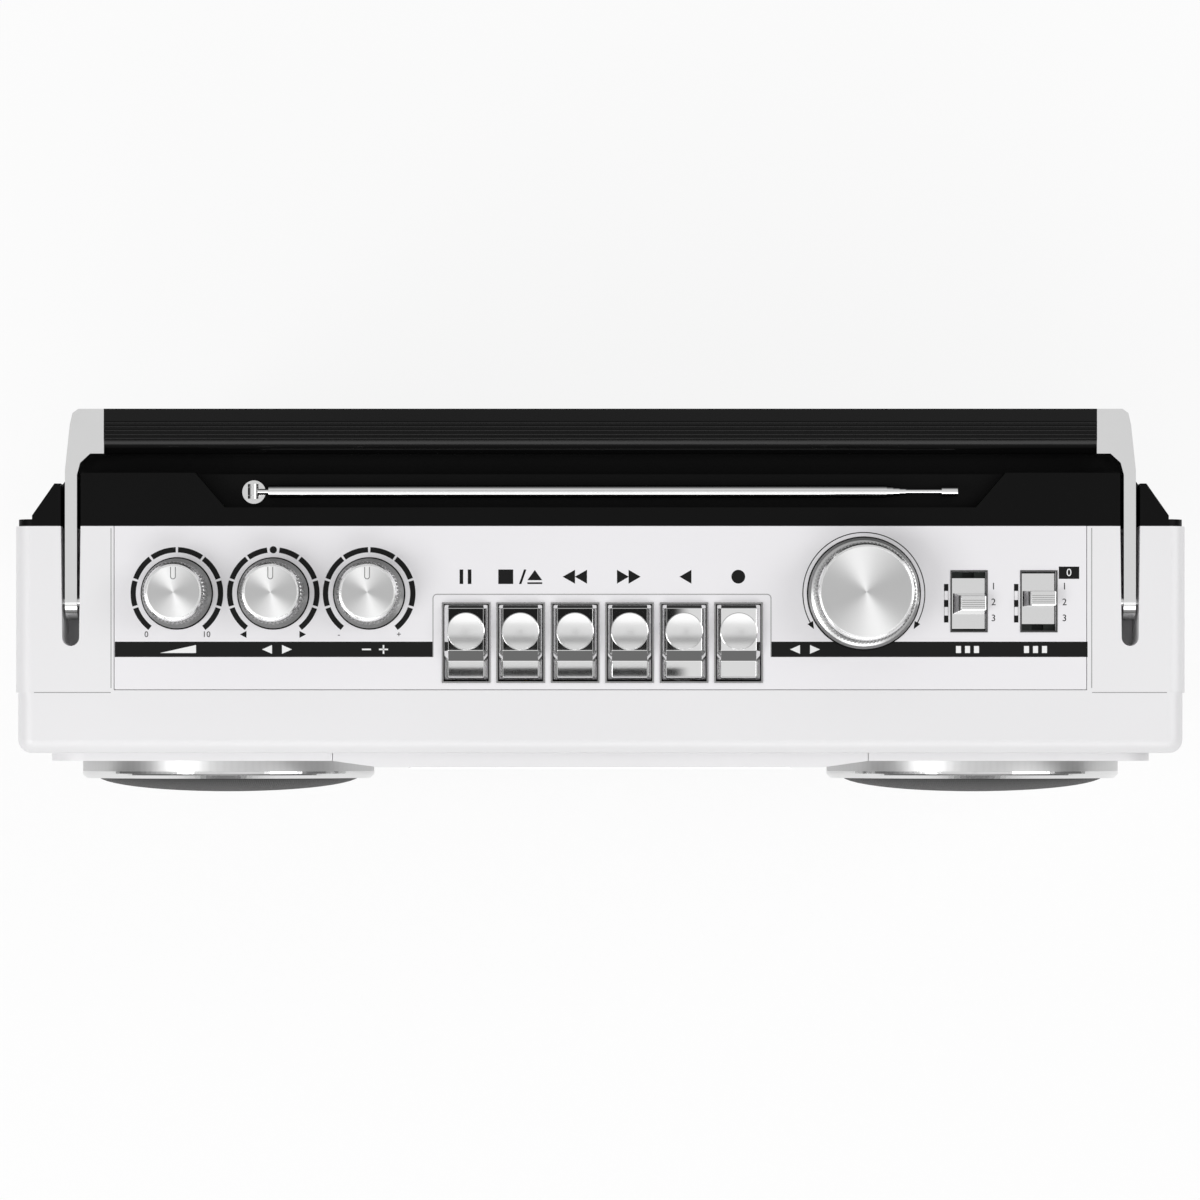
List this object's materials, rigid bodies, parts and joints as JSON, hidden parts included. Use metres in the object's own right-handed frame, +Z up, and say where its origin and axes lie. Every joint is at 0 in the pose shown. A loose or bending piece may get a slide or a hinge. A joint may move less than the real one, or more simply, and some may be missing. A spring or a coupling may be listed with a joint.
{
  "type": "portable cassette radio",
  "caption": "Portable retro radio with cassette deck, piano keys, rotary and slide controls, folding handle, telescopic antenna and domed speaker grilles.",
  "frame": {"origin": "centre of the footprint on the table, under the middle of the bounding box", "axes": "+Z up, front of the radio towards -Y, +X to the right of someone facing its front"},
  "size_m": [0.44, 0.1448, 0.2744],
  "materials": {
    "black_gloss": "glossy black plastic",
    "black_plastic": "fine black plastic",
    "board_green": "circuit board",
    "brass": "turned",
    "brushed": "brushed",
    "chrome": "polished",
    "clear": "clear window",
    "dark_cloth": "woven black mesh",
    "dial_face": "printed scale",
    "panel_white": "satin white plastic with printed marks",
    "paper": "pressed paper",
    "pointer_red": "bright pointer",
    "rubber": "matt",
    "spun": "spun, radial sheen",
    "steel": "plain",
    "white_plastic": "satin white plastic"
  },
  "bodies": {
    "cabinet": {"front_frame": "white_plastic", "front_plate": "white_plastic", "centre_fascia": "white_plastic", "main_housing": "white_plastic", "control_panel": "panel_white", "rear_cover": "black_plastic", "rubber_feet": "rubber", "case_screws": "steel", "speaker_ring_left": "brushed", "speaker_ring_right": "brushed", "speaker_grille_left": "dark_cloth", "speaker_grille_right": "dark_cloth", "woofer_frame_left": "steel", "woofer_frame_right": "steel", "dial_window": "clear", "dial_scale": "dial_face", "pot_board": "board_green", "main_board": "board_green", "switch_board": "board_green", "key_shaft": "steel", "deck_chassis": "steel", "deck_motor": "steel", "drive_belt": "rubber", "antenna_base": "chrome", "battery_contacts": "steel", "power_transformer": "steel", "rear_sockets": "black_plastic"},
    "volume": {"volume_knob": "spun"},
    "balance": {"balance_knob": "spun"},
    "tone": {"tone_knob": "spun"},
    "tuning": {"tuning_knob": "spun", "tuning_drum": "black_plastic"},
    "pointer": {"dial_pointer": "pointer_red"},
    "band": {"band_slider": "chrome"},
    "function": {"function_slider": "chrome"},
    "pause_key_body": {"pause_key": "chrome"},
    "stop_key_body": {"stop_key": "chrome"},
    "fast_forward_key_body": {"fast_forward_key": "chrome"},
    "rewind_key_body": {"rewind_key": "chrome"},
    "play_key_body": {"play_key": "chrome"},
    "record_key_body": {"record_key": "chrome"},
    "head": {"head_plate": "steel"},
    "pinch": {"pinch_roller": "rubber"},
    "left_reel": {"left_spindle": "black_plastic"},
    "right_reel": {"right_spindle": "black_plastic"},
    "capstan": {"capstan_flywheel": "steel"},
    "motor_drive": {"motor_pulley": "brass"},
    "tape_door": {"cassette_door": "white_plastic", "door_window": "clear"},
    "battery_lid": {"battery_door": "black_plastic"},
    "handle": {"handle_arm_left": "chrome", "handle_arm_right": "chrome", "handle_grip": "black_gloss"},
    "mast": {"antenna_section_1": "chrome", "antenna_section_2": "chrome", "antenna_section_3": "chrome", "antenna_section_4": "chrome", "antenna_section_5": "chrome"},
    "cone_left": {"woofer_cone_left": "paper"},
    "cone_right": {"woofer_cone_right": "paper"}
  },
  "joints": [
    {"name": "volume_turn", "type": "hinge", "parent": "cabinet", "child": "volume", "pos_m": [-0.159, 0.00305, 0.255], "axis": [0, 0, -1], "range_deg": [-142, 142]},
    {"name": "balance_turn", "type": "hinge", "parent": "cabinet", "child": "balance", "pos_m": [-0.1228, 0.00305, 0.255], "axis": [0, 0, -1], "range_deg": [-142, 142]},
    {"name": "tone_turn", "type": "hinge", "parent": "cabinet", "child": "tone", "pos_m": [-0.0868, 0.00305, 0.255], "axis": [0, 0, -1], "range_deg": [-142, 142]},
    {"name": "tuning_turn", "type": "hinge", "parent": "cabinet", "child": "tuning", "pos_m": [0.0989, 0.00305, 0.255], "axis": [0, 0, -1], "range_deg": [-120, 120]},
    {"name": "pointer_slide", "type": "slide", "parent": "cabinet", "child": "pointer", "axis": [1, 0, 0], "range_m": [-0.0502, 0.0502]},
    {"name": "band_slide", "type": "slide", "parent": "cabinet", "child": "band", "axis": [0, 1, 0], "range_m": [-0.0058, 0.0058]},
    {"name": "function_slide", "type": "slide", "parent": "cabinet", "child": "function", "axis": [0, 1, 0], "range_m": [-0.009, 0.0065]},
    {"name": "pause_press", "type": "hinge", "parent": "cabinet", "child": "pause_key_body", "pos_m": [-0.0504, 0.01715, 0.2475], "axis": [1, 0, 0], "range_deg": [0, 6], "stiffness_Nm_per_rad": 0.5, "springref_deg": -5.73},
    {"name": "stop_press", "type": "hinge", "parent": "cabinet", "child": "stop_key_body", "pos_m": [-0.0504, 0.01715, 0.2475], "axis": [1, 0, 0], "range_deg": [0, 6], "stiffness_Nm_per_rad": 0.5, "springref_deg": -5.73},
    {"name": "fast_forward_press", "type": "hinge", "parent": "cabinet", "child": "fast_forward_key_body", "pos_m": [-0.0504, 0.01715, 0.2475], "axis": [1, 0, 0], "range_deg": [0, 6], "stiffness_Nm_per_rad": 0.5, "springref_deg": -5.73},
    {"name": "rewind_press", "type": "hinge", "parent": "cabinet", "child": "rewind_key_body", "pos_m": [-0.0504, 0.01715, 0.2475], "axis": [1, 0, 0], "range_deg": [0, 6], "stiffness_Nm_per_rad": 0.5, "springref_deg": -5.73},
    {"name": "play_press", "type": "hinge", "parent": "cabinet", "child": "play_key_body", "pos_m": [-0.0504, 0.01715, 0.2475], "axis": [1, 0, 0], "range_deg": [0, 6], "stiffness_Nm_per_rad": 0.5, "springref_deg": -5.73},
    {"name": "record_press", "type": "hinge", "parent": "cabinet", "child": "record_key_body", "pos_m": [-0.0504, 0.01715, 0.2475], "axis": [1, 0, 0], "range_deg": [0, 6], "stiffness_Nm_per_rad": 0.5, "springref_deg": -5.73},
    {"name": "head_slide", "type": "slide", "parent": "cabinet", "child": "head", "axis": [0, 0, -1], "range_m": [0, 0.0041]},
    {"name": "pinch_turn", "type": "hinge", "parent": "head", "child": "pinch", "pos_m": [0.024, -0.04885, 0.1759], "axis": [0, 1, 0], "continuous": true},
    {"name": "left_reel_turn", "type": "hinge", "parent": "cabinet", "child": "left_reel", "pos_m": [-0.02125, -0.04685, 0.138], "axis": [0, 1, 0], "continuous": true},
    {"name": "right_reel_turn", "type": "hinge", "parent": "cabinet", "child": "right_reel", "pos_m": [0.02125, -0.04685, 0.138], "axis": [0, 1, 0], "continuous": true},
    {"name": "capstan_turn", "type": "hinge", "parent": "cabinet", "child": "capstan", "pos_m": [0.024, -0.04685, 0.166], "axis": [0, 1, 0], "continuous": true},
    {"name": "motor_turn", "type": "hinge", "parent": "cabinet", "child": "motor_drive", "pos_m": [-0.03, -0.03185, 0.112], "axis": [0, 1, 0], "continuous": true},
    {"name": "tape_door_open", "type": "hinge", "parent": "cabinet", "child": "tape_door", "pos_m": [0, -0.05985, 0.0955], "axis": [1, 0, 0], "range_deg": [0, 38]},
    {"name": "battery_lid_open", "type": "hinge", "parent": "cabinet", "child": "battery_lid", "pos_m": [0, 0.06875, 0.0298], "axis": [-1, 0, 0], "range_deg": [0, 30]},
    {"name": "handle_swing", "type": "hinge", "parent": "cabinet", "child": "handle", "pos_m": [0, 0.00015, 0.247], "axis": [1, 0, 0], "range_deg": [0, 90]},
    {"name": "antenna_tilt", "type": "hinge", "parent": "cabinet", "child": "mast", "pos_m": [-0.1307, 0.04155, 0.2504], "axis": [0, -1, 0], "range_deg": [0, 90]},
    {"name": "cone_left_move", "type": "slide", "parent": "cabinet", "child": "cone_left", "axis": [0, 1, 0], "range_m": [-0.002, 0.002], "stiffness_N_per_m": 1500},
    {"name": "cone_right_move", "type": "slide", "parent": "cabinet", "child": "cone_right", "axis": [0, 1, 0], "range_m": [-0.002, 0.002], "stiffness_N_per_m": 1500}
  ],
  "couplings": [
    {"joint": "pointer_slide", "follows": "tuning_turn", "m_per_rad": 0.023873},
    {"joint": "head_slide", "follows": "play_press", "m_per_rad": 0.038197},
    {"joint": "motor_turn", "follows": "capstan_turn", "ratio": 4.4444}
  ]
}
